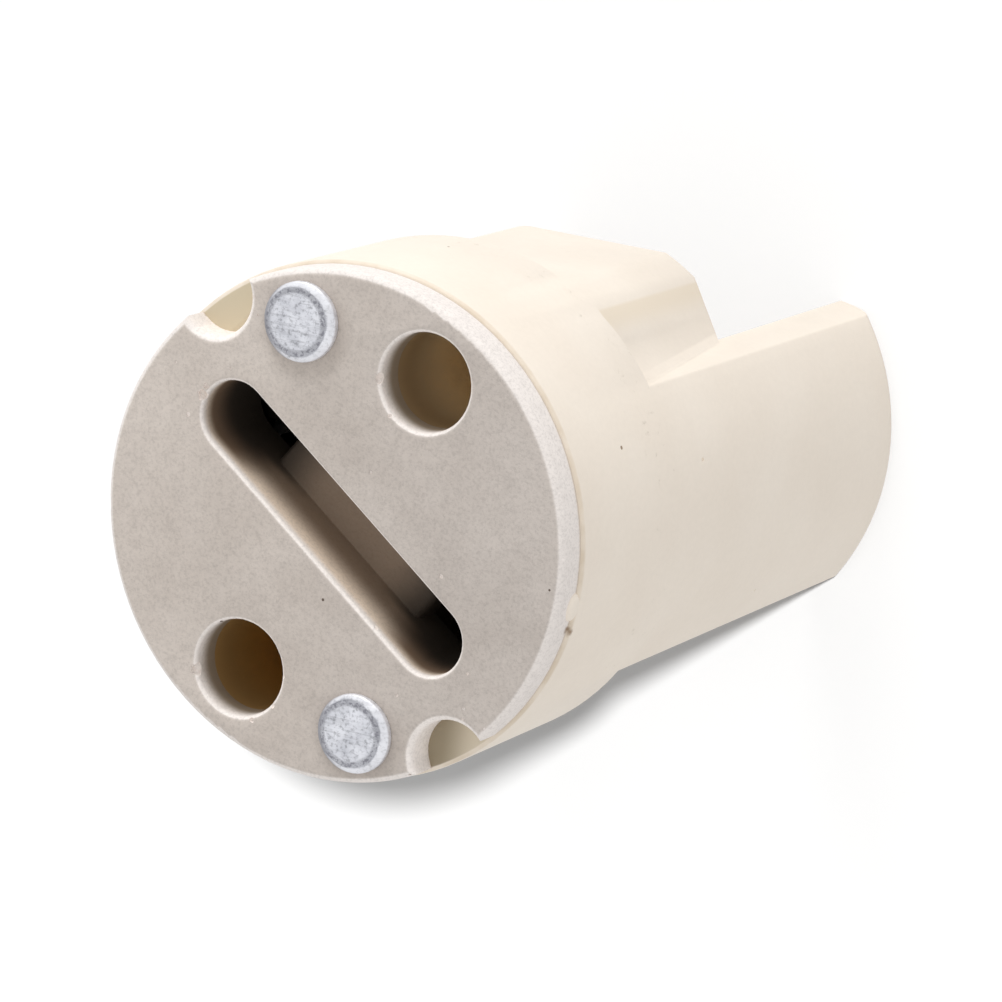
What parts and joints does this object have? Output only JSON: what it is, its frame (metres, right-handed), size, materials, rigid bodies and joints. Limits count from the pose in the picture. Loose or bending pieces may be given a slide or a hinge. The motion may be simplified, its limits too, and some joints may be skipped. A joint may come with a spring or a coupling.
{
  "type": "lamp holder",
  "caption": "Round ceramic lamp holder for loop-pin capsule lamps: slotted body between tall walls, with a riveted rear plate and lead trough.",
  "frame": {"origin": "bottom centre of the bounding box: on the body's centre line, level with the ends of the tall walls", "axes": "+Z along the body's axis from the tall walls' ends to the rear plate, +X along the lamp slot from one tall wall to the other"},
  "size_m": [0.021, 0.021, 0.0329],
  "materials": {
    "body_ceramic": "cream, smooth unglazed, satin",
    "plate_ceramic": "warm grey, fine-grained, matt",
    "contact_metal": "plated strip",
    "spring_steel": "bright strip",
    "rivet_metal": "matt, finely scratched"
  },
  "bodies": {
    "root": {"ceramic_body": "body_ceramic", "rear_plate": "plate_ceramic", "contact_clip_a": "contact_metal", "contact_clip_b": "contact_metal", "backing_spring_a": "spring_steel", "backing_spring_b": "spring_steel", "rivet_a": "rivet_metal", "rivet_b": "rivet_metal"}
  },
  "joints": []
}
